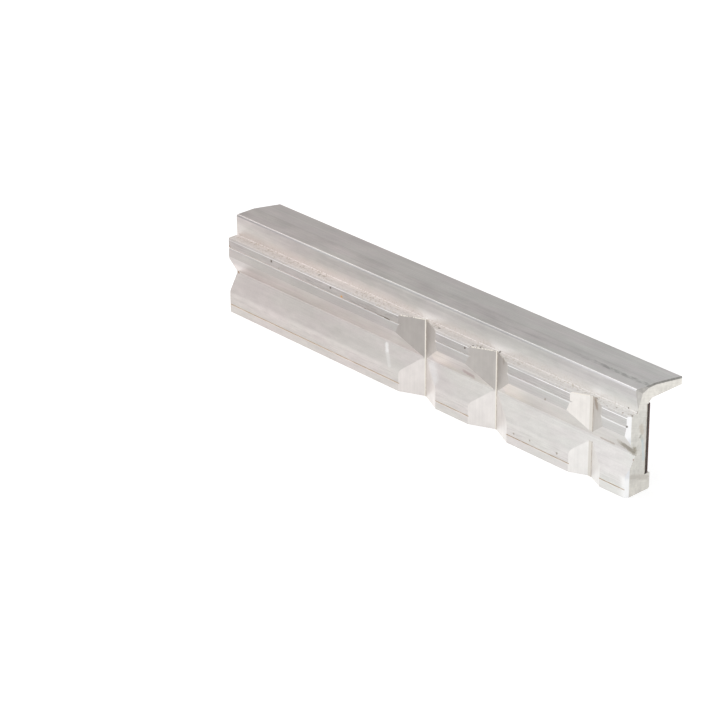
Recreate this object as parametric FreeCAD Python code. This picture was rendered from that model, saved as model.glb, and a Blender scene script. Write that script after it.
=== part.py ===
import FreeCAD, Part
import math
import os
from FreeCAD import Vector

# Magnetic prismatic soft jaw for a bench vise, in millimetres.
#
# Row frame: X runs along the jaw, the working face looks along -Y, the lip
# and the magnet are on the +Y side, and Z points up from the foot's underside.
# The origin is at the middle of the jaw's footprint, on the surface it stands
# on. The section is drawn in its own (depth, height) plane: depth 0 is the
# clamping plane of the working face and grows towards the back.

# Jaw body: overall
jaw_length = 150.0

# Jaw body: foot and web
foot_height = 4.55
foot_depth = 8.45
foot_heel_radius = 0.55
foot_edge_radius = 0.25
web_depth = 7.0
pocket_floor_depth = 6.5

# Jaw body: lip over the vise's own jaw
lip_underside_height = 25.0
lip_reach = 19.55
lip_tip_thickness = 1.95
lip_root_radius = 1.8
tip_top_radius = 0.55
tip_bottom_radius = 0.25
crown_thickness = 3.5
crown_depth = 9.6
crown_radius = 8.0

# Jaw body: set-back wall above the working face
wall_setback = 3.25
wall_top_radius = 0.5
wall_root_radius = 0.2
ledge_height = 22.45
ledge_edge_radius = 0.55

# Working face: the long V for round stock held level
long_v_angle = 120.0
long_v_depth = 3.05
long_v_root_height = 11.25
long_v_root_radius = 0.8
long_v_shoulder_radius = 4.0

# Working face: the strip above the long V, proud at its foot, and the notch
strip_proud = 0.35
strip_top_recess = 0.0
strip_top_radius = 0.12
notch_height = 19.6
notch_half_width = 0.25
notch_depth = 0.3

# Working face: the scored line on the lower land
score_height = 2.35
score_width = 0.3
score_depth = 0.15

# Working face: upright V grooves for round stock held on end
upright_v_angle = 130.0
middle_v_offset = 0.8
middle_v_pitch = 26.1
end_v_from_end = 14.2
end_v_depth = 2.2
end_v_root_width = 1.2
deep_v_root_width = 0.55
deep_v_wall_margin = 0.1

# Ends: what the saw and the file left
near_end_chamfer_depth = 1.1
near_end_chamfer_run = 0.62
far_end_chamfer = 0.2
near_tip_break = 0.55
far_tip_break = 0.25
near_top_break = 0.38
worn_corner_reach = 1.0
worn_corner_top = 3.7
worn_corner_wall = 4.9
worn_corner_knee_in = 1.55
worn_corner_knee_down = 1.2

# Magnet strip and its adhesive film
magnet_width = 19.0
magnet_thickness = 0.95
magnet_end_inset = 0.2
tape_thickness = 0.4
pocket_clearance = 0.15

# Tools that cut right through run past the jaw by this much.
overrun = 5.0

# Places that follow from the sizes above
near_end = jaw_length / 2
far_end = -jaw_length / 2
top_height = lip_underside_height + crown_thickness
tip_top_height = lip_underside_height + lip_tip_thickness
pocket_height = magnet_width + 2 * pocket_clearance
long_v_rise = math.tan(math.radians(long_v_angle / 2))
upright_v_spread = math.tan(math.radians(upright_v_angle / 2))
footprint_middle = (lip_reach - strip_proud) / 2


def rounded_wire(corners):
    """Closed wire in the (depth, height) plane at X = 0, from corners given as
    (depth, height, radius), with a tangent arc wherever the radius isn't 0."""
    points = [Vector(0, depth, height) for depth, height, radius in corners]
    starts = []
    ends = []
    arcs = []
    for index, (depth, height, radius) in enumerate(corners):
        here = points[index]
        before = (points[index - 1] - here).normalize()
        after = (points[(index + 1) % len(points)] - here).normalize()
        half_angle = before.getAngle(after) / 2
        if radius == 0:
            starts.append(here)
            ends.append(here)
            arcs.append(None)
            continue
        tangent = radius / math.tan(half_angle)
        towards_centre = (before + after).normalize()
        middle = here + towards_centre * (radius / math.sin(half_angle) - radius)
        starts.append(here + before * tangent)
        ends.append(here + after * tangent)
        arcs.append(Part.Arc(starts[-1], middle, ends[-1]))
    edges = []
    for index in range(len(corners)):
        if arcs[index] is not None:
            edges.append(arcs[index].toShape())
        following = (index + 1) % len(corners)
        edges.append(Part.LineSegment(ends[index], starts[following]).toShape())
    return Part.Wire(edges)


def jaw_section():
    """The extrusion's outline, from the front of the foot up the working face,
    over the lip and down the back. The magnet pocket isn't in it."""
    score_half = score_width / 2
    shoulder_height = long_v_root_height - long_v_depth * long_v_rise
    strip_foot_height = long_v_root_height + (long_v_depth + strip_proud) * long_v_rise
    return rounded_wire([
        (0, 0, 0),
        (0, score_height - score_half, 0),
        (score_depth, score_height, 0),
        (0, score_height + score_half, 0),
        (0, shoulder_height, long_v_shoulder_radius),
        (long_v_depth, long_v_root_height, long_v_root_radius),
        (-strip_proud, strip_foot_height, 0),
        (strip_top_recess, notch_height - notch_half_width, strip_top_radius),
        (notch_depth, notch_height, 0),
        (0, notch_height + notch_half_width, 0),
        (0, ledge_height, ledge_edge_radius),
        (wall_setback, ledge_height, wall_root_radius),
        (wall_setback, top_height, wall_top_radius),
        (crown_depth, top_height, crown_radius),
        (lip_reach, tip_top_height, tip_top_radius),
        (lip_reach, lip_underside_height, tip_bottom_radius),
        (web_depth, lip_underside_height, lip_root_radius),
        (web_depth, foot_height, 0),
        (foot_depth, foot_height, foot_edge_radius),
        (foot_depth, 0, foot_heel_radius),
    ])


def upright_v(position, depth, root_width):
    """Milling cutter's sweep for one upright V, centred at a place along the
    jaw. It runs up past the ledge, and its root stays short of the wall."""
    root_half = root_width / 2
    mouth_half = root_half + (depth + overrun) * upright_v_spread
    outline = Part.makePolygon([
        Vector(position - mouth_half, -overrun, -overrun),
        Vector(position - root_half, depth, -overrun),
        Vector(position + root_half, depth, -overrun),
        Vector(position + mouth_half, -overrun, -overrun),
        Vector(position - mouth_half, -overrun, -overrun),
    ])
    return Part.Face(outline).extrude(Vector(0, 0, ledge_height + 2 * overrun))


def beyond(point, normal):
    """All that lies past a plane, near the jaw: what a flat file takes off."""
    size = 2 * jaw_length
    block = Part.makeBox(size, size, size, Vector(-size / 2, -size / 2, 0))
    block.Placement = FreeCAD.Placement(point, FreeCAD.Rotation(Vector(0, 0, 1), normal))
    return block


def end_breaks():
    """Planes filed across the ends: the working face's upright edges, the
    lip's tip corners, and the top edge of the near end."""
    slope = Vector(0, lip_reach - crown_depth, tip_top_height - top_height)
    up_from_slope = Vector(0, -slope.z, slope.y).normalize()
    tip_top = Vector(near_end, lip_reach, tip_top_height)
    return [
        beyond(Vector(near_end, near_end_chamfer_depth, 0),
               Vector(near_end_chamfer_depth, -near_end_chamfer_run, 0)),
        beyond(Vector(far_end, far_end_chamfer, 0), Vector(-1, -1, 0)),
        beyond(Vector(near_end, lip_reach - near_tip_break, 0), Vector(1, 1, 0)),
        beyond(Vector(far_end, lip_reach - far_tip_break, 0), Vector(-1, 1, 0)),
        beyond(Vector(near_end, 0, top_height - near_top_break), Vector(1, 0, 1)),
        beyond(tip_top - up_from_slope * near_top_break, up_from_slope + Vector(1, 0, 0)),
    ]


def worn_corner():
    """Two flats rubbed onto the near end's upper front corner, where the wall,
    the top and the end meet. They fade out down the wall and along the top."""
    corner = Vector(near_end - worn_corner_reach, wall_setback, top_height)
    knee = Vector(near_end, wall_setback + worn_corner_knee_in, top_height - worn_corner_knee_down)
    on_top = Vector(near_end, wall_setback + worn_corner_top, top_height - near_top_break)
    on_wall = Vector(near_end, wall_setback, top_height - worn_corner_wall)
    above_ledge = Part.makeBox(
        jaw_length, lip_reach + overrun, top_height - on_wall.z + overrun,
        Vector(0, -overrun, on_wall.z))
    flats = []
    for first, second in ((on_top, knee), (knee, on_wall)):
        normal = (second - first).cross(corner - first)
        if normal.x < 0:
            normal = normal * -1
        flats.append(beyond(first, normal).common(above_ledge))
    return flats


def make_jaw_body():
    extrusion = Part.Face(jaw_section()).extrude(Vector(jaw_length, 0, 0))
    extrusion.translate(Vector(far_end, 0, 0))
    pocket = Part.makeBox(
        jaw_length + 2 * overrun, foot_depth + overrun, pocket_height,
        Vector(far_end - overrun, pocket_floor_depth, foot_height))
    deep_v_depth = wall_setback - deep_v_wall_margin
    grooves = [
        upright_v(middle_v_offset, deep_v_depth, deep_v_root_width),
        upright_v(middle_v_offset + middle_v_pitch, deep_v_depth, deep_v_root_width),
        upright_v(near_end - end_v_from_end, end_v_depth, end_v_root_width),
    ]
    body = extrusion.cut(pocket)
    for tool in grooves + end_breaks() + worn_corner():
        body = body.cut(tool)
    return body.removeSplitter()


def pocket_layer(floor_depth, thickness):
    """A flat strip lying in the magnet pocket, clear of its two long walls."""
    return Part.makeBox(
        jaw_length - 2 * magnet_end_inset, thickness, magnet_width,
        Vector(far_end + magnet_end_inset, floor_depth, foot_height + pocket_clearance))


def make_adhesive_tape():
    return pocket_layer(pocket_floor_depth, tape_thickness)


def make_magnet_strip():
    return pocket_layer(pocket_floor_depth + tape_thickness, magnet_thickness)


def save(node, shape):
    solid = shape.Solids[0]
    solid.translate(Vector(0, -footprint_middle, 0))
    box = solid.BoundBox
    print(node, len(shape.Solids), "solid, valid", solid.isValid(), "volume %.1f mm3" % solid.Volume)
    print("  x %.2f %.2f  y %.2f %.2f  z %.2f %.2f"
          % (box.XMin, box.XMax, box.YMin, box.YMax, box.ZMin, box.ZMax))
    solid.exportStep("parts/" + node + ".step")


os.makedirs("parts", exist_ok=True)
save("jaw_body", make_jaw_body())
save("adhesive_tape", make_adhesive_tape())
save("magnet_strip", make_magnet_strip())
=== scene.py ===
import math

import bmesh
import bpy
from mathutils import Matrix, Vector


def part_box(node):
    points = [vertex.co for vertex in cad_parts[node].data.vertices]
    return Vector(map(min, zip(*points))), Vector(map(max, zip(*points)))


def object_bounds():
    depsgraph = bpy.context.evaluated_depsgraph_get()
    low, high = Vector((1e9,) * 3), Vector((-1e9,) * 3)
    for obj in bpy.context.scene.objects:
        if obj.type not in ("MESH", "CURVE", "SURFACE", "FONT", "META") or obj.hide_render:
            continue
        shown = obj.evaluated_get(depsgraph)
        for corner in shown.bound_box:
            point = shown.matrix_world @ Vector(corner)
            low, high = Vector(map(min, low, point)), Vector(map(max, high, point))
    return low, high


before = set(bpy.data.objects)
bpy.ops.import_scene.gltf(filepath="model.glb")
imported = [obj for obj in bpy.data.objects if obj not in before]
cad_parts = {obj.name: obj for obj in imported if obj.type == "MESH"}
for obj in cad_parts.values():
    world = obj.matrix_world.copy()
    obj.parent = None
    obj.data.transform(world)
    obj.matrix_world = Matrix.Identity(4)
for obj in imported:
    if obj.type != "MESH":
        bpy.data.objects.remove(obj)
cad_box = [list(corner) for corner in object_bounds()]

MM = 0.001

# Photograph's camera, solved from the jaw's own corners. Angles in degrees,
# azimuth 0 looks along +Y, and the place is in millimetres in the row frame.
CAMERA_AZIMUTH = 47.6735
CAMERA_ELEVATION = 25.9019
CAMERA_ROLL = -0.4036
CAMERA_PLACE = (476.823, -463.148, 330.969)
CAMERA_LENS = 140.265
CAMERA_SENSOR = 36.0

# Studio. The world is white round the horizon and grey overhead, and the grey
# comes lower behind the jaw than in front of it. Heights are the sine of the
# angle above the horizon, where the white ends and where the grey starts. The
# floor's own glow brings its lit paint up to white for the eye and for
# reflections.
FRONT_FADE = (0.40, 0.75)
BACK_FADE = (0.03, 0.20)
OVERHEAD_LEVEL = 0.45
FLOOR_PAINT = 0.50
FLOOR_GLOW = 0.75
FLOOR_RADIUS = 6.0
KEY_PLACE = (-0.82, -0.06, 0.94)
KEY_SIZE = 1.3
KEY_POWER = 7.5

# Ends of the jaw, in millimetres in the row frame
FAR_END = cad_box[0][0] / MM
NEAR_END = cad_box[1][0] / MM
JAW_LENGTH = NEAR_END - FAR_END

# Places across the jaw: its two lands, which lie in one plane, and the wall
# that is set back above them
LAND_Y = -9.6
WALL_Y = -6.35

# Heights above the foot's underside. The lip's is that of its own underside,
# and the wall's top is where its edge starts to round over.
SCORE_HEIGHT = 2.35
V_ROOT_HEIGHT = 11.25
NOTCH_HEIGHT = 19.6
LEDGE_HEIGHT = 22.45
LIP_HEIGHT = 25.0
WALL_TOP_HEIGHT = 28.0

# Stretches of height: the lower land above its score, all of the long V, the
# middle of its upper side, and the upper land
LOWER_LAND_SPAN = (2.7, 4.9)
V_SPAN = (6.0, 15.5)
V_UPPER_SIDE_SPAN = (12.2, 16.8)
UPPER_LAND_SPAN = (19.95, 21.7)

# Slant of the faces that don't run along the jaw: the size of their normal's
# X share
GROOVE_SLANT = (0.36, 0.50)
CHAMFER_SLANT = (0.66, 0.90)
FILED_SLANT = (0.25, 0.92)
END_EDGE_SLANT = (0.60, 0.80)
SAWN_END_SLANT = (0.93, 0.98)

# Upright grooves: place along the jaw, half the width of the flat root, and
# the root's place across the jaw
DEEP_GROOVES = ((0.8, 0.275, WALL_Y - 0.1), (26.9, 0.275, WALL_Y - 0.1))
SHALLOW_GROOVE = (NEAR_END - 14.2, 0.6, LAND_Y + 2.2)


def tone(red, green, blue):
    """Linear colour of a tone given as it shows on a screen, from 0 to 255."""
    channels = []
    for level in (red, green, blue):
        share = level / 255
        channels.append(share / 12.92 if share < 0.04045 else ((share + 0.055) / 1.055) ** 2.4)
    return (channels[0], channels[1], channels[2], 1.0)


def grey(level):
    return (level, level, level, 1.0)


def make_camera():
    data = bpy.data.cameras.new("camera")
    data.sensor_width = CAMERA_SENSOR
    data.lens = CAMERA_LENS
    data.clip_start = 0.01
    data.clip_end = 50
    camera = bpy.data.objects.new("camera", data)
    turn = (
        Matrix.Rotation(math.radians(CAMERA_AZIMUTH), 4, "Z")
        @ Matrix.Rotation(math.radians(90 - CAMERA_ELEVATION), 4, "X")
        @ Matrix.Rotation(math.radians(CAMERA_ROLL), 4, "Z")
    )
    camera.matrix_world = Matrix.Translation(Vector(CAMERA_PLACE) * MM) @ turn
    bpy.context.scene.collection.objects.link(camera)
    bpy.context.scene.camera = camera


class Graph:
    """A material's or the world's node tree, with one short call per node."""

    def __init__(self, owner):
        owner.use_nodes = True
        self.tree = owner.node_tree
        self.tree.nodes.clear()

    def node(self, kind, inputs=None, **settings):
        made = self.tree.nodes.new(kind)
        for name, value in settings.items():
            setattr(made, name, value)
        for key, value in (inputs or {}).items():
            self.feed(made.inputs[key], value)
        return made

    def feed(self, socket, value):
        if isinstance(value, bpy.types.NodeSocket):
            self.tree.links.new(value, socket)
        else:
            socket.default_value = value

    def math(self, operation, first, second=0.0, third=0.0):
        made = self.node("ShaderNodeMath", operation=operation)
        for index, value in enumerate((first, second, third)):
            self.feed(made.inputs[index], value)
        return made.outputs[0]

    def vector(self, operation, first, second=(0, 0, 0), third=(0, 0, 0)):
        made = self.node("ShaderNodeVectorMath", operation=operation)
        for index, value in enumerate((first, second, third)):
            self.feed(made.inputs[index], value)
        in_numbers = operation in ("LENGTH", "DOT_PRODUCT")
        return made.outputs["Value" if in_numbers else "Vector"]

    def split(self, vector):
        return self.node("ShaderNodeSeparateXYZ", {0: vector}).outputs

    def join(self, x, y, z):
        return self.node("ShaderNodeCombineXYZ", {0: x, 1: y, 2: z}).outputs[0]

    def millimetres(self):
        """Place on the mesh in millimetres in the row frame."""
        place = self.node("ShaderNodeTexCoord").outputs["Object"]
        return self.vector("MULTIPLY", place, (1 / MM, 1 / MM, 1 / MM))

    def ramp(self, value, low, high, start=0.0, end=1.0):
        """Smooth step of a value, from start at low to end at high."""
        made = self.node("ShaderNodeMapRange", interpolation_type="SMOOTHSTEP")
        for key, number in (("Value", value), ("From Min", low), ("From Max", high),
                            ("To Min", start), ("To Max", end)):
            self.feed(made.inputs[key], number)
        return made.outputs[0]

    def band(self, value, low, high, soft):
        """1 between low and high, falling to 0 over a soft width outside."""
        rise = self.ramp(value, low - soft, low)
        fall = self.ramp(value, high, high + soft, 1.0, 0.0)
        return self.math("MULTIPLY", rise, fall)

    def every(self, *masks):
        """Where all the masks are."""
        product = masks[0]
        for mask in masks[1:]:
            product = self.math("MULTIPLY", product, mask)
        return product

    def any(self, *masks):
        """Where at least one of the masks is."""
        most = masks[0]
        for mask in masks[1:]:
            most = self.math("MAXIMUM", most, mask)
        return most

    def outside(self, mask):
        """Where the mask isn't."""
        return self.ramp(mask, 0.0, 1.0, 1.0, 0.0)

    def mix(self, factor, first, second, blend="MIX"):
        """Two colours mixed. The node's colour sockets are 6 and 7, and its
        mixed colour is output 2."""
        made = self.node("ShaderNodeMix", data_type="RGBA", blend_type=blend)
        self.feed(made.inputs["Factor"], factor)
        self.feed(made.inputs[6], first)
        self.feed(made.inputs[7], second)
        return made.outputs[2]

    def tinted(self, colour, tint):
        """One colour multiplied by another."""
        return self.mix(1.0, colour, tint, "MULTIPLY")

    def noise(self, place, size, detail=3.0, offset=0.0):
        """Noise about 0.5, with features of a size in millimetres along X, Y
        and Z. The offset picks another stretch of it."""
        scale = tuple(1 / width for width in size)
        moved = self.vector("MULTIPLY_ADD", place, scale, (offset, offset, offset))
        return self.node("ShaderNodeTexNoise", {
            "Vector": moved, "Scale": 1.0, "Detail": detail, "Roughness": 0.55}).outputs[0]

    def sway(self, noise, amount, base=1.0):
        """Noise as a factor that wanders by an amount about a base."""
        return self.math("MULTIPLY_ADD", noise, amount, base - amount / 2)

    def shade(self, colour, factor, where=1.0):
        """Colour multiplied by a plain factor, where the mask is."""
        return self.mix(where, colour, self.join(factor, factor, factor), "MULTIPLY")

    def smear(self, place, start, end, width, ragged):
        """1 on the line from start to end, falling to 0 at a width beside it,
        in mm. A line of no length makes a round speck."""
        away = self.vector("SUBTRACT", place, start)
        run = Vector(end) - Vector(start)
        if run.length > 0:
            onto = self.vector("DOT_PRODUCT", away, tuple(run / run.length_squared))
            share = self.node("ShaderNodeClamp", {0: onto}).outputs[0]
            nearest = self.vector("MULTIPLY", tuple(run), self.join(share, share, share))
            away = self.vector("SUBTRACT", away, nearest)
        distance = self.math("MULTIPLY_ADD", self.vector("LENGTH", away), 1 / width, ragged)
        return self.ramp(distance, 0.3, 1.05, 1.0, 0.0)

    def relief(self, height, depth, strength=1.0):
        """Normal bumped by a height of about 0 to 1, with its depth in mm."""
        return self.node("ShaderNodeBump", {
            "Strength": strength, "Distance": depth * MM, "Height": height}).outputs[0]

    def principled(self, inputs):
        """Principled shader as the material's surface."""
        shader = self.node("ShaderNodeBsdfPrincipled", inputs)
        self.node("ShaderNodeOutputMaterial", {"Surface": shader.outputs[0]})


def make_world():
    """A studio's walls and ceiling: white round the horizon, where the camera
    may see it, and darker overhead. Every kind of ray sees the same."""
    world = bpy.data.worlds.new("studio")
    bpy.context.scene.world = world
    graph = Graph(world)
    direction = graph.node("ShaderNodeTexCoord").outputs["Generated"]
    _, depth, up = graph.split(direction)
    front = graph.ramp(up, *FRONT_FADE, 1.0, OVERHEAD_LEVEL)
    back = graph.ramp(up, *BACK_FADE, 1.0, OVERHEAD_LEVEL)
    level = graph.mix(graph.ramp(depth, -0.1, 0.45), front, back)
    background = graph.node("ShaderNodeBackground", {"Color": level, "Strength": 1.0})
    graph.node("ShaderNodeOutputWorld", {"Surface": background.outputs[0]})


def soft_light(name, place, size, power):
    """A square soft light in metres and watts, turned to the jaw."""
    data = bpy.data.lights.new(name, "AREA")
    data.shape = "SQUARE"
    data.size = size
    data.energy = power
    lamp = bpy.data.objects.new(name, data)
    lamp.location = place
    lamp.rotation_euler = (-Vector(place)).to_track_quat("-Z", "Y").to_euler()
    bpy.context.scene.collection.objects.link(lamp)


def make_floor():
    mesh = bpy.data.meshes.new("floor")
    shape = bmesh.new()
    bmesh.ops.create_circle(shape, cap_ends=True, segments=96, radius=FLOOR_RADIUS)
    shape.to_mesh(mesh)
    shape.free()
    floor = bpy.data.objects.new("floor", mesh)
    floor.location.z = -0.02 * MM
    bpy.context.scene.collection.objects.link(floor)
    material = bpy.data.materials.new("white_floor")
    graph = Graph(material)
    rays = graph.node("ShaderNodeLightPath").outputs
    seen = graph.any(rays["Is Camera Ray"], rays["Is Glossy Ray"], rays["Is Transmission Ray"])
    glow_level = graph.math("MULTIPLY", seen, FLOOR_GLOW)
    paint = graph.node("ShaderNodeBsdfDiffuse", {"Color": grey(FLOOR_PAINT)})
    glow = graph.node("ShaderNodeEmission", {"Color": grey(1.0), "Strength": glow_level})
    both = graph.node("ShaderNodeAddShader", {0: paint.outputs[0], 1: glow.outputs[0]})
    graph.node("ShaderNodeOutputMaterial", {"Surface": both.outputs[0]})
    mesh.materials.append(material)


# Metal's lightness on each face at these places along the jaw, and its hue
# there. The lightness is painted light and shade, face by face, and darker
# towards the far end. The far half is warm from handling, and the near end
# is more neutral. Painted highlights on edges stay closer to neutral.
TINT_PLACES = (FAR_END, -40.0, 30.0, NEAR_END)
HANDLED_HUES = ((1.08, 1.0, 0.960), (1.075, 1.0, 0.963), (1.042, 1.0, 0.970), (1.015, 1.0, 0.978))
HIGHLIGHT_HUES = ((1.045, 1.0, 0.985), (1.03, 1.0, 0.995), (1.018, 1.0, 1.0), (1.0, 1.0, 1.0))
TOP_FLAT = (0.605, 0.675, 0.685, 0.89)
TOP_SLOPE = (0.605, 0.625, 0.68, 0.79)
LEDGE_FILM = (0.68, 0.79, 0.79, 0.905)
# Painted highlights on the ledge's edge, the notch's edge and the wall's top, and painted light in
# the notch
LEDGE_GLINT = (0.55, 0.75, 0.86, 0.98)
NOTCH = (0.565, 0.58, 0.585, 0.70)
NOTCH_GLINT = (0.405, 0.43, 0.52, 0.73)
WALL_TOP_GLINT = (0.345, 0.475, 0.42, 0.72)
LOWER_LAND = (0.54, 0.57, 0.615, 0.705)

# Faces above the lower land: the height where each starts, how softly, and
# its lightness, which is painted light and shade. They are the long V's lower
# side, the lower and upper half of its upper side, the proud strip, the upper
# land and the wall.
WORKING_FACES = (
    (6.4, 1.3, (0.525, 0.51, 0.665, 0.77)),
    (V_ROOT_HEIGHT - 0.05, 0.5, (0.655, 0.64, 0.73, 0.71)),
    (14.3, 1.1, (0.50, 0.605, 0.64, 0.70)),
    (17.1, 0.1, (0.45, 0.39, 0.45, 0.545)),
    (NOTCH_HEIGHT, 0.1, (0.395, 0.38, 0.405, 0.52)),
    (LEDGE_HEIGHT + 0.05, 0.1, (0.56, 0.455, 0.51, 0.595)),
)

# Upright grooves' sides, from where along the jaw, and their lightness, which
# is painted light and shade: above the long V's root the side that looks to
# the near end and the one that looks away from it, then the same two below
# the root. Those above it are warmer.
GROOVE_SIDES = (
    (FAR_END, 0.36, 0.56, 0.645, 0.765),
    (14.0, 0.415, 0.535, 0.69, 0.765),
    (46.0, 0.735, 0.535, 0.76, 0.79),
)
ABOVE_ROOT_HUE = (1.015, 1.0, 0.98, 1.0)

# Upright grooves: the metal of their roots, the burrs at their tops, the dirt
# in a root's crease, and the painted light on the long V beyond a deep groove
DEEP_ROOT = (0.80, 0.765, 0.70, 1.0)
SHALLOW_ROOT = (0.66, 0.63, 0.585, 1.0)
BURR = (0.80, 0.76, 0.68, 1.0)
CREASE_DIRT = (0.36, 0.30, 0.245, 1.0)
GROOVE_GLOW = (1.12, 1.09, 1.06, 1.0)

# Metal at the back and underneath, and at the ends: the sawn faces and their
# web, darker with painted shade, the filed flats and edges, and the near end's
# chamfer, with painted shade in the long V and painted light beside it
BACK_METAL = tone(226, 223, 218)
SAWN_END = tone(217, 214, 207)
SAWN_WEB = tone(205, 203, 197)
FILED_FLAT = tone(214, 211, 206)
FILED_EDGE = tone(184, 182, 177)
CHAMFER = grey(0.86)
CHAMFER_SHADED_IN_V = (0.70, 0.71, 0.73, 1.0)
PAINTED_LIGHT_BESIDE_CHAMFER = grey(0.92)

# Faint drift of the metal's hue
PINKISH = (1.006, 0.990, 0.998, 1.0)
GREENISH = (0.992, 1.004, 0.992, 1.0)

LEDGE_SPECKLE = tone(182, 170, 152)
SCORE_DIRT = tone(168, 146, 120)
NOTCH_DIRT = tone(148, 139, 130)

BLACK_SPECK = tone(86, 78, 70)
GREY_SPECK = tone(160, 153, 144)
BROWN_SPECK = tone(150, 122, 100)
ORANGE_SPECK = tone(206, 148, 72)
WHITE_RUB = tone(255, 255, 255)

MAGNET_DARK = tone(62, 52, 50)
MAGNET_PALE = tone(84, 72, 68)
MAGNET_EDGE = tone(104, 62, 50)
MAGNET_PIT = tone(140, 128, 120)
TAPE_CREAM = tone(240, 234, 218)
TAPE_DUST = tone(196, 180, 154)

# Specks on the jaw: place and reach in millimetres, and tone
SPECKS = (
    ((-74.5, LAND_Y, 19.95), 0.45, BROWN_SPECK),
    ((-74.4, -6.7, 11.4), 0.55, BROWN_SPECK),
    ((-56.8, LAND_Y, 21.2), 0.48, BLACK_SPECK),
    ((-53.7, -9.75, 20.1), 0.35, GREY_SPECK),
    ((-32.7, LAND_Y, 21.2), 0.42, BLACK_SPECK),
    ((-28.3, -9.75, 20.0), 0.62, ORANGE_SPECK),
    ((-39.0, -7.9, LEDGE_HEIGHT), 0.40, GREY_SPECK),
    ((7.3, -7.8, LEDGE_HEIGHT), 0.50, GREY_SPECK),
    ((6.7, -9.75, 21.1), 0.35, GREY_SPECK),
    ((18.5, LAND_Y, 21.3), 0.42, BLACK_SPECK),
    ((20.6, -8.7, LEDGE_HEIGHT), 0.35, BLACK_SPECK),
    ((22.6, -8.0, LEDGE_HEIGHT), 0.38, BLACK_SPECK),
    ((28.0, -6.5, 22.5), 0.38, BLACK_SPECK),
    ((47.4, -9.9, 17.4), 0.45, GREY_SPECK),
    ((36.4, LAND_Y, 3.5), 0.40, GREY_SPECK),
    ((42.1, LAND_Y, 3.7), 0.40, GREY_SPECK),
    ((51.5, LAND_Y, 3.7), 0.48, GREY_SPECK),
    ((67.2, -8.9, LEDGE_HEIGHT), 0.28, GREY_SPECK),
    ((69.4, -7.9, LEDGE_HEIGHT), 0.30, GREY_SPECK),
    ((72.3, -8.8, LEDGE_HEIGHT), 0.32, BROWN_SPECK),
    ((71.9, -6.4, 22.8), 0.34, GREY_SPECK),
    ((74.4, LAND_Y, 19.7), 0.45, BLACK_SPECK),
    ((NEAR_END, -6.6, 22.7), 0.45, GREY_SPECK),
    ((NEAR_END, -8.3, 22.4), 0.45, GREY_SPECK),
    ((NEAR_END, -5.2, 15.6), 0.45, GREY_SPECK),
    ((NEAR_END, -7.35, 10.1), 0.35, BROWN_SPECK),
)

# Smears: from one place to another, width in millimetres, tone and strength
SMEARS = (
    ((-29.0, LAND_Y, 20.7), (-18.0, LAND_Y, 20.5), 0.80, tone(156, 148, 142), 0.15),
    ((-18.0, LAND_Y, 20.4), (-7.0, LAND_Y, 20.4), 1.00, tone(150, 141, 133), 0.22),
    ((-13.4, -7.0, 10.4), (-12.4, -7.8, 9.1), 0.80, WHITE_RUB, 0.5),
    ((-12.4, -7.8, 9.1), (-9.9, -9.4, 6.25), 0.80, WHITE_RUB, 0.22),
    ((3.9, -7.2, 10.2), (6.3, -8.7, 7.6), 2.0, WHITE_RUB, 0.28),
    ((17.0, -7.8, 13.4), (19.2, -7.6, 13.0), 1.30, tone(172, 148, 150), 0.6),
    ((63.7, -6.8, 11.7), (68.0, -6.8, 11.7), 0.50, tone(156, 144, 128), 0.5),
    ((71.2, -7.8, 13.5), (NEAR_END, -7.2, 12.5), 1.60, tone(164, 158, 144), 0.45),
    ((72.2, -7.6, 13.0), (74.6, -7.3, 12.4), 1.50, tone(128, 121, 106), 0.62),
    ((72.9, -6.9, 11.8), (74.6, -6.6, 11.4), 0.80, tone(146, 139, 124), 0.55),
    ((NEAR_END, -4.9, 18.4), (NEAR_END, -4.5, 16.6), 1.00, tone(178, 168, 154), 0.55),
    ((NEAR_END, -4.9, 15.8), (NEAR_END, -4.3, 14.3), 0.60, tone(176, 178, 172), 0.6),
    ((NEAR_END, -4.3, 14.3), (NEAR_END, -3.6, 8.8), 0.60, tone(188, 200, 202), 0.65),
    ((NEAR_END, -7.7, 5.5), (NEAR_END, -2.2, 3.5), 0.90, tone(176, 170, 162), 0.5),
    ((62.6, -8.0, 22.0), (63.4, -8.2, 20.6), 1.20, tone(146, 128, 110), 0.7),
    ((31.0, -8.6, 22.0), (31.0, -8.6, 21.2), 0.90, tone(160, 148, 136), 0.5),
)


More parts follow.
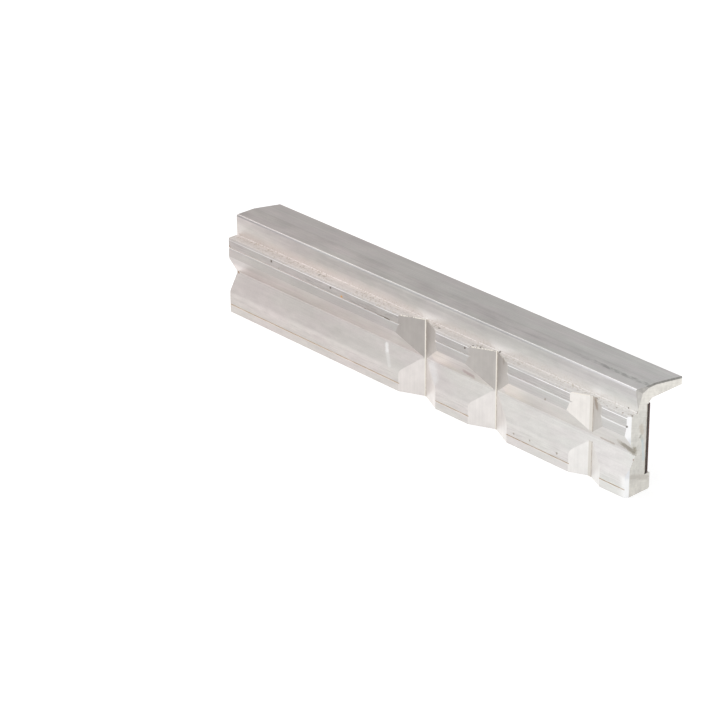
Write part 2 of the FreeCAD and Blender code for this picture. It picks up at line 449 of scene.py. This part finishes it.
class JawSurface(Graph):
    """Node tree of the jaw's metal, with the places, faces and grain that its
    layers share. Places are in millimetres in the row frame."""

    def __init__(self, material):
        super().__init__(material)
        # Place, and what the faces look at
        self.place = self.millimetres()
        self.x, self.y, self.z = self.split(self.place)
        nx, ny, nz = self.split(self.node("ShaderNodeTexCoord").outputs["Normal"])
        slant = self.math("ABSOLUTE", nx)
        self.to_far_end = self.ramp(nx, -0.1, 0.1, 1.0, 0.0)
        self.front = self.ramp(ny, -0.45, -0.3, 1.0, 0.0)
        self.along_jaw = self.every(self.front, self.ramp(slant, 0.15, 0.30, 1.0, 0.0))
        self.top = self.every(self.ramp(nz, 0.8, 0.95),
                              self.ramp(self.z, LIP_HEIGHT + 1.0, LIP_HEIGHT + 1.4))

        # Ledge and the wall above it
        self.ledge = self.every(self.ramp(nz, 0.10, 0.30),
                                self.band(self.z, LEDGE_HEIGHT - 0.5, LEDGE_HEIGHT + 0.45, 0.05))
        self.ledge_bend = self.every(self.ledge, self.ramp(nz, 0.92, 0.998, 1.0, 0.0),
                                     self.ramp(self.y, LAND_Y + 1.0, LAND_Y + 1.3, 1.0, 0.0))
        self.wall_top = self.every(self.band(nz, 0.12, 0.88, 0.06),
                                   self.ramp(ny, -0.3, -0.1, 1.0, 0.0),
                                   self.ramp(self.z, WALL_TOP_HEIGHT - 0.2, WALL_TOP_HEIGHT - 0.05))
        above_ledge = self.every(self.along_jaw,
                                 self.ramp(self.z, LEDGE_HEIGHT - 0.05, LEDGE_HEIGHT + 0.15))
        self.wall = self.every(above_ledge, self.outside(self.wall_top))
        self.wall_foot = self.every(
            above_ledge, self.ramp(self.z, LEDGE_HEIGHT + 0.35, LEDGE_HEIGHT + 3.05, 1.0, 0.0))

        # Cuts in the working face
        below_ledge = self.ramp(self.z, LEDGE_HEIGHT - 0.15, LEDGE_HEIGHT + 0.05, 1.0, 0.0)
        self.groove = self.every(self.front, self.band(slant, *GROOVE_SLANT, 0.06), below_ledge)
        self.groove_root = self.every(self.along_jaw, below_ledge)
        self.notch = self.every(self.along_jaw,
                                self.band(self.z, NOTCH_HEIGHT - 0.16, NOTCH_HEIGHT + 0.24, 0.03))
        self.chamfer = self.every(self.front, self.band(slant, *CHAMFER_SLANT, 0.04), below_ledge)

        # Ends
        self.filed = self.every(self.band(slant, *FILED_SLANT, 0.03),
                                self.ramp(self.z, LEDGE_HEIGHT + 0.15, LEDGE_HEIGHT + 0.45),
                                self.ramp(self.x, NEAR_END - 15.0, NEAR_END - 13.0))
        self.end_edge = self.every(self.band(slant, *END_EDGE_SLANT, 0.08), self.ramp(nz, 0.5, 0.6),
                                   self.ramp(self.z, LIP_HEIGHT + 0.5, LIP_HEIGHT + 1.0))
        self.sawn_end = self.ramp(slant, *SAWN_END_SLANT)

        # Grain and dirt
        self.die_lines = self.noise(self.place, (60.0, 0.45, 0.45), 4.0)
        self.hair_lines = self.noise(self.place, (14.0, 0.16, 0.16), 2.0, 7.3)
        self.smudges = self.noise(self.place, (11.0, 4.5, 4.5), 4.0, 31.7)
        self.grit = self.noise(self.place, (0.45, 0.45, 0.45), 3.0, 3.1)
        self.packed = self.noise(self.place, (3.0, 0.8, 0.8), 3.0, 9.9)

    def along(self, levels, hues=HANDLED_HUES):
        """Tint by place along the jaw, from a lightness for each of
        TINT_PLACES and the hues there."""
        place = self.math("MULTIPLY_ADD", self.x, 1 / JAW_LENGTH, 0.5)
        made = self.node("ShaderNodeValToRGB", {0: place})
        stops = made.color_ramp.elements
        while len(stops) < len(levels):
            stops.new(1.0)
        for index, level in enumerate(levels):
            stops[index].position = TINT_PLACES[index] / JAW_LENGTH + 0.5
            stops[index].color = (*[level * share for share in hues[index]], 1.0)
        return made.outputs[0]

    def long_faces(self):
        """Faces that run along the jaw, their lightness painted light and shade:
        blotched on the wall and below the long V's root, streaked on the lands, and
        with painted shade in the long V's root."""
        colour = self.along(LOWER_LAND)
        for start, soft, levels in WORKING_FACES:
            above = self.ramp(self.z, start - soft, start + soft)
            colour = self.mix(above, colour, self.along(levels))
        blotches = self.noise(self.place, (4.5, 1.3, 1.3), 5.0, 57.0)
        blotched = self.any(self.ramp(self.z, LEDGE_HEIGHT - 0.45, LEDGE_HEIGHT + 0.15),
                            self.ramp(self.z, V_ROOT_HEIGHT - 0.45, V_ROOT_HEIGHT + 0.25, 0.8, 0.0))
        colour = self.shade(colour, self.sway(blotches, 0.34), blotched)
        flecks = self.noise(self.place, (4.5, 0.8, 0.30), 4.0, 68.0)
        upper_land = self.band(self.z, *UPPER_LAND_SPAN, 0.1)
        lower_land = self.band(self.z, *LOWER_LAND_SPAN, 0.5)
        colour = self.shade(colour, self.sway(flecks, 0.7), upper_land)
        colour = self.shade(colour, self.sway(flecks, 0.5, 0.97), lower_land)
        # Painted shade in the long V's root
        v_root = self.band(self.z, V_ROOT_HEIGHT - 0.2, V_ROOT_HEIGHT + 0.05, 0.2)
        colour = self.shade(colour, 0.85, v_root)
        colour = self.mix(self.front, BACK_METAL, colour)
        on_slope = self.ramp(self.y, -1.6, 1.2)
        top = self.mix(on_slope, self.along(TOP_FLAT), self.along(TOP_SLOPE))
        return self.mix(self.top, colour, top)

    def painted_edge_highlights(self, colour):
        """Painted highlights on the edges below the ledge, at the notch and where
        the wall meets the top, broken up by noise, and painted light in the notch."""
        patchy = self.ramp(self.noise(self.place, (9.0, 3.0, 3.0), 3.0, 17.7), 0.3, 0.5, 0.6, 1.0)
        ledge_line = self.every(
            self.along_jaw, self.band(self.z, LEDGE_HEIGHT - 0.65, LEDGE_HEIGHT - 0.47, 0.06), patchy)
        colour = self.mix(ledge_line, colour, self.along(LEDGE_GLINT, HIGHLIGHT_HUES))
        colour = self.mix(self.notch, colour, self.along(NOTCH))
        notch_line = self.every(
            self.along_jaw, self.band(self.z, NOTCH_HEIGHT - 0.38, NOTCH_HEIGHT - 0.2, 0.06), patchy)
        colour = self.mix(notch_line, colour, self.along(NOTCH_GLINT, HIGHLIGHT_HUES))
        return self.mix(self.wall_top, colour, self.along(WALL_TOP_GLINT, HIGHLIGHT_HUES))

    def groove_glow(self, colour):
        """Painted light on the long V's upper side, beyond each deep groove."""
        for middle, _, _ in DEEP_GROOVES:
            beyond = self.math("SUBTRACT", self.x, middle + 4.0)
            patch = self.every(self.along_jaw, self.band(self.z, *V_UPPER_SIDE_SPAN, 0.8),
                               self.ramp(beyond, -0.5, 0.5), self.ramp(beyond, 4.0, 11.0, 1.0, 0.0))
            colour = self.mix(patch, colour, self.tinted(colour, GROOVE_GLOW))
        return colour

    def grain(self, colour):
        """Streaks along the jaw and broad smudges, calmer below the long V's
        root, with fine grit and a faint drift of the metal's hue."""
        uneven = self.every(self.sway(self.die_lines, 0.27), self.sway(self.hair_lines, 0.15),
                            self.sway(self.smudges, 0.32))
        calm = self.ramp(self.z, V_ROOT_HEIGHT - 0.45, V_ROOT_HEIGHT + 0.35, 0.5, 1.0)
        uneven = self.math("MULTIPLY_ADD", self.math("SUBTRACT", uneven, 1.0), calm, 1.0)
        wander = self.every(uneven, self.sway(self.grit, 0.13))
        drift = self.ramp(self.noise(self.place, (17.0, 5.0, 5.0), 2.0, 90.0), 0.35, 0.65)
        return self.shade(self.tinted(colour, self.mix(drift, PINKISH, GREENISH)), wander)

    def top_smudges(self, colour):
        """Dark smudges and streaks beside the ridge of the top."""
        beside_ridge = self.every(self.top, self.band(self.y, -2.6, -1.9, 0.9))
        broad = self.noise(self.place, (15.0, 1.8, 1.8), 3.0, 83.0)
        where = self.every(beside_ridge, self.ramp(self.x, 5.0, 25.0), self.ramp(broad, 0.38, 0.66))
        colour = self.shade(colour, 0.85, where)
        small = self.noise(self.place, (3.0, 1.5, 1.5), 6.0, 29.0)
        where = self.every(beside_ridge, self.ramp(self.x, 46.0, 60.0), self.ramp(small, 0.46, 0.62))
        return self.shade(colour, 0.70, where)

    def sawn_ends(self, colour):
        """Sawn ends: pale, with painted shade in the web and the foot, with
        slanting saw marks, and the filed flats and edges round them."""
        web = self.band(self.z, 7.0, 21.0, 4.0)
        foot = self.ramp(self.z, 4.5, 8.0, 1.0, 0.0)
        end = self.shade(self.mix(web, SAWN_END, SAWN_WEB), 0.92, foot)
        lean = self.math("MULTIPLY", self.y, 0.3)
        slanted = self.vector("ADD", self.place, self.join(0.0, 0.0, lean))
        marks = self.noise(slanted, (1.0, 5.0, 0.35), 3.0, 41.0)
        patches = self.noise(self.place, (3.0, 2.0, 3.0), 3.0, 63.0)
        patchy = self.noise(self.place, (1.0, 0.8, 1.2), 4.0, 36.0)
        uneven = self.every(self.sway(marks, 0.30), self.sway(patches, 0.36), self.sway(patchy, 0.34))
        colour = self.mix(self.sawn_end, colour, self.shade(end, uneven))
        colour = self.mix(self.filed, colour, self.shade(FILED_FLAT, self.sway(patchy, 0.5)))
        return self.mix(self.end_edge, colour, self.shade(FILED_EDGE, self.sway(patchy, 0.8)))

    def groove_sides(self, colour):
        """Sides of the upright grooves, with painted light and shade: cream where
        they cut the lower land, and grey above it, a painted reflection of shade,
        with the cutter's lines and burrs."""
        high = grey(1.0)
        low = grey(1.0)
        for start, near_high, far_high, near_low, far_low in GROOVE_SIDES:
            here = self.ramp(self.x, start - 1.0, start)
            side = self.mix(self.to_far_end, grey(near_high), grey(far_high))
            high = self.mix(here, high, self.tinted(side, ABOVE_ROOT_HUE))
            low = self.mix(here, low, self.mix(self.to_far_end, grey(near_low), grey(far_low)))
        above_root = self.ramp(self.z, V_ROOT_HEIGHT - 0.9, V_ROOT_HEIGHT + 0.5)
        cutter_lines = self.noise(self.place, (0.5, 40.0, 14.0), 3.0, 12.9)
        mottle = self.noise(self.place, (2.4, 2.4, 3.2), 4.0, 47.0)
        texture = self.every(self.sway(cutter_lines, 0.16), self.sway(mottle, 0.26))
        hue = self.along((1.0, 1.0, 1.0, 1.0))
        facet = self.shade(self.tinted(self.mix(above_root, low, high), hue), texture)
        burr = self.every(self.ramp(self.z, LEDGE_HEIGHT - 0.45, LEDGE_HEIGHT - 0.25),
                          self.ramp(self.grit, 0.42, 0.52))
        return self.mix(self.groove, colour, self.mix(burr, facet, BURR))

    def groove_bottom(self, colour, groove, metal):
        """Flat root of an upright groove, with dirt packed in its crease."""
        middle, half, root_y = groove
        across = self.math("SUBTRACT", self.x, middle)
        at_root = self.every(self.groove_root, self.band(self.y, root_y - 0.03, root_y + 0.03, 0.05))
        root = self.every(at_root, self.band(across, -half, half, 0.05))
        crease = self.every(at_root, self.band(across, half - 0.14, half + 0.1, 0.08),
                            self.ramp(self.packed, 0.3, 0.6, 0.5, 0.95))
        return self.mix(crease, self.mix(root, colour, metal), CREASE_DIRT)

    def near_chamfer(self, colour):
        """Near end's chamfer, with painted shade in the long V, and painted light on the land beside
        it.
        """
        beside = self.every(self.along_jaw, self.ramp(self.z, 4.8, 6.5, 1.0, 0.0),
                            self.ramp(self.x, NEAR_END - 2.6, NEAR_END - 0.6, 0.0, 0.6))
        colour = self.mix(beside, colour, PAINTED_LIGHT_BESIDE_CHAMFER)
        chamfer = self.mix(self.band(self.z, *V_SPAN, 1.5), CHAMFER, CHAMFER_SHADED_IN_V)
        return self.mix(self.chamfer, colour, chamfer)

    def ledge_film_and_shade(self, colour):
        """Dusty film on the ledge and up the wall's foot, cream with fine
        brown specks, and lighter in the ledge's inner half. Painted shade darkens it
        round the ledge's outer bend and in the wall's root."""
        film = self.shade(self.along(LEDGE_FILM), 0.70, self.ledge_bend)
        inner_half = self.every(self.ledge, self.ramp(self.y, WALL_Y - 1.65, WALL_Y - 0.95))
        film = self.shade(film, 1.05, inner_half)
        wall_root = self.every(self.ledge, self.ramp(self.y, WALL_Y - 0.4, WALL_Y - 0.25))
        film = self.shade(film, 0.92, wall_root)
        where = self.any(self.ledge, self.math("MULTIPLY", self.wall_foot, 0.75))
        colour = self.mix(where, colour, film)
        patches = self.noise(self.place, (9.0, 2.0, 2.0), 3.0, 51.3)
        fine = self.noise(self.place, (0.65, 0.50, 0.50), 3.0, 77.7)
        heavier = self.every(self.ramp(patches, 0.38, 0.58, 0.2, 0.6),
                             self.ramp(self.x, 50.0, 62.0, 1.0, 0.7))
        speckled = self.every(self.any(self.ledge, self.math("MULTIPLY", self.wall_foot, 0.5)),
                              heavier, self.ramp(fine, 0.49, 0.65))
        return self.mix(speckled, colour, LEDGE_SPECKLE)

    def painted_wall_light(self, colour):
        """Painted light and shade on the wall: brighter at its foot, where the ledge
        lights it, darker upwards, with a painted highlight in a pale strip under
        its top.
        """
        up_wall = self.math("SUBTRACT", self.z, LEDGE_HEIGHT + 0.05)
        fade = self.math("MULTIPLY_ADD", up_wall, -0.059, 1.14)
        dark_strip = self.band(self.z, WALL_TOP_HEIGHT - 1.4, WALL_TOP_HEIGHT - 0.9, 0.4)
        pale_strip = self.ramp(self.z, WALL_TOP_HEIGHT - 0.7, WALL_TOP_HEIGHT - 0.2)
        colour = self.shade(colour, fade, self.wall)
        colour = self.shade(colour, 0.96, self.every(self.wall, dark_strip))
        return self.shade(colour, 1.07, self.every(self.wall, pale_strip))

    def packed_dirt(self, colour):
        """Dirt in the score, and before the first groove in streaks on the
        upper land and caked in the notch."""
        lands = self.every(self.along_jaw, self.ramp(self.y, LAND_Y + 0.3, LAND_Y + 0.5, 1.0, 0.0))
        score = self.every(lands, self.band(self.z, SCORE_HEIGHT - 0.10, SCORE_HEIGHT + 0.08, 0.05),
                           self.ramp(self.packed, 0.30, 0.50, 0.45, 1.0))
        colour = self.mix(score, colour, SCORE_DIRT)
        streaks = self.noise(self.place, (4.0, 1.2, 0.6), 4.0, 22.0)
        handled = self.every(lands, self.band(self.z, NOTCH_HEIGHT + 0.3, LEDGE_HEIGHT - 0.85, 0.15),
                             self.band(self.x, -40.0, -8.0, 8.0), self.ramp(streaks, 0.52, 0.61))
        colour = self.shade(colour, 0.80, handled)
        caked = self.every(self.notch, self.ramp(self.packed, 0.46, 0.58),
                           self.band(self.x, -18.0, -7.5, 3.0))
        return self.mix(caked, colour, NOTCH_DIRT)

    def marks(self, colour):
        """Specks, smears and rubs."""
        ragged = self.math("MULTIPLY_ADD", self.grit, 1.3, -0.65)
        for centre, reach, stain in SPECKS:
            colour = self.mix(self.smear(self.place, centre, centre, reach, ragged), colour, stain)
        for start, end, width, stain, strength in SMEARS:
            smear = self.smear(self.place, start, end, width, ragged)
            colour = self.mix(self.math("MULTIPLY", smear, strength), colour, stain)
        return colour

    def finish(self, colour):
        """Polish, film and relief. The film and the filed flats are duller and
        less metallic."""
        film = self.any(self.ledge, self.math("MULTIPLY", self.wall_foot, 0.5), self.filed)
        dull = self.any(film, self.end_edge, self.wall_top)
        polish = self.math("MULTIPLY_ADD", self.smudges, 0.16, 0.26)
        roughness = self.math("MULTIPLY_ADD", dull, 0.2, polish)
        metallic = self.math("MULTIPLY_ADD", film, -0.5, 1.0)
        height = self.math("ADD", self.die_lines, self.math("MULTIPLY", self.hair_lines, 0.5))
        self.principled({"Base Color": colour, "Metallic": metallic, "Roughness": roughness,
                         "Normal": self.relief(height, 0.006)})


def make_aluminium():
    material = bpy.data.materials.new("bare_aluminium")
    surface = JawSurface(material)
    colour = surface.painted_edge_highlights(surface.long_faces())
    colour = surface.grain(surface.groove_glow(colour))
    colour = surface.top_smudges(colour)
    colour = surface.sawn_ends(colour)
    colour = surface.groove_sides(colour)
    for groove in DEEP_GROOVES:
        colour = surface.groove_bottom(colour, groove, DEEP_ROOT)
    colour = surface.groove_bottom(colour, SHALLOW_GROOVE, SHALLOW_ROOT)
    colour = surface.near_chamfer(colour)
    colour = surface.painted_wall_light(surface.ledge_film_and_shade(colour))
    colour = surface.packed_dirt(colour)
    surface.finish(surface.marks(colour))
    return material


def make_magnet():
    """Flexible ferrite magnet: matt brownish black with fine pits, and reddish
    on its outer edge at the near end."""
    material = bpy.data.materials.new("magnet")
    graph = Graph(material)
    place = graph.millimetres()
    x, y, _ = graph.split(place)
    _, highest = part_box("magnet_strip")
    outer_face = highest.y / MM
    mottle = graph.noise(place, (2.5, 2.5, 1.4), 4.0, 5.0)
    pits = graph.noise(place, (0.5, 0.5, 0.5), 2.0, 21.0)
    rolled = graph.noise(place, (40.0, 1.0, 0.7), 3.0, 37.0)
    colour = graph.mix(graph.ramp(mottle, 0.3, 0.7), MAGNET_DARK, MAGNET_PALE)
    colour = graph.shade(colour, graph.sway(rolled, 0.4))
    outer_edge = graph.every(graph.ramp(y, outer_face - 0.4, outer_face - 0.1),
                             graph.ramp(x, NEAR_END - 1.0, NEAR_END - 0.4))
    colour = graph.mix(outer_edge, colour, MAGNET_EDGE)
    colour = graph.mix(graph.ramp(pits, 0.66, 0.74), colour, MAGNET_PIT)
    graph.principled({"Base Color": colour, "Roughness": 0.62,
                      "Normal": graph.relief(pits, 0.03, 0.6)})
    return material


def make_tape():
    """Adhesive film: cream, with dust caught along its edge."""
    material = bpy.data.materials.new("tape")
    graph = Graph(material)
    dust = graph.noise(graph.millimetres(), (1.5, 1.5, 1.5), 4.0, 15.0)
    colour = graph.mix(graph.ramp(dust, 0.42, 0.68), TAPE_CREAM, TAPE_DUST)
    graph.principled({"Base Color": colour, "Roughness": graph.sway(dust, 0.2, 0.5)})
    return material


def dress(node, material):
    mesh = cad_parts[node].data
    mesh.materials.clear()
    mesh.materials.append(material)


make_camera()
make_world()
soft_light("key_light", KEY_PLACE, KEY_SIZE, KEY_POWER)
make_floor()
dress("jaw_body", make_aluminium())
dress("magnet_strip", make_magnet())
dress("adhesive_tape", make_tape())
bpy.context.scene.view_settings.view_transform = "Standard"
